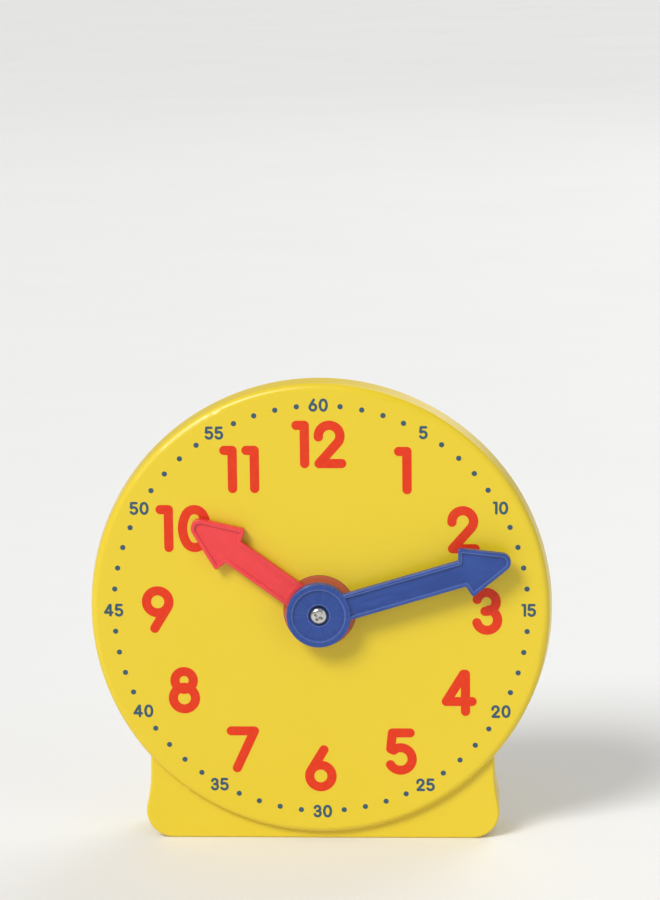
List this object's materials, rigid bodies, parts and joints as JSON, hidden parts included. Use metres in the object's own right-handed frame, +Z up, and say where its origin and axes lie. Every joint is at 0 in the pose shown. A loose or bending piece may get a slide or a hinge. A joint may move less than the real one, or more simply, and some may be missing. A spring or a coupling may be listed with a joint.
{
  "type": "teaching clock",
  "caption": "Small round teaching clock on a flared plinth, with geared hour and minute hands in a closed two-shell plastic case.",
  "frame": {"origin": "middle of the bounding box on the surface that the plinth stands on, directly below the hub's axis", "axes": "+Z up, +X to the right as the dial is read, -Y out of the dial towards the reader"},
  "size_m": [0.1016, 0.0254, 0.1028],
  "materials": {
    "case_yellow": "yellow moulded polystyrene with a fine satin grain",
    "hand_red": "red moulded polystyrene",
    "hand_blue": "blue moulded polystyrene",
    "gear_white": "natural white moulded acetal",
    "screw_steel": "bright zinc-plated steel",
    "washer_rubber": "black rubber friction washer"
  },
  "bodies": {
    "case": {"front_shell": "case_yellow", "back_shell": "case_yellow", "shell_screws": "screw_steel", "intermediate_axle": "screw_steel", "friction_washer": "washer_rubber"},
    "minute_train": {"minute_hand": "hand_blue", "minute_arbor": "gear_white", "hand_screw": "screw_steel"},
    "hour_train": {"hour_hand": "hand_red", "hour_wheel": "gear_white"},
    "intermediate_train": {"intermediate_gear": "gear_white"}
  },
  "joints": [
    {"name": "minute_turn", "type": "hinge", "parent": "case", "child": "minute_train", "pos_m": [0, -0.0071, 0.052], "axis": [0, 1, 0], "continuous": true},
    {"name": "hour_turn", "type": "hinge", "parent": "case", "child": "hour_train", "pos_m": [0, -0.0071, 0.052], "axis": [0, 1, 0], "continuous": true},
    {"name": "intermediate_turn", "type": "hinge", "parent": "case", "child": "intermediate_train", "pos_m": [0, -0.0071, 0.031], "axis": [0, 1, 0], "continuous": true}
  ],
  "couplings": [
    {"joint": "intermediate_turn", "follows": "minute_turn", "ratio": -0.33333},
    {"joint": "hour_turn", "follows": "minute_turn", "ratio": 0.083333}
  ]
}
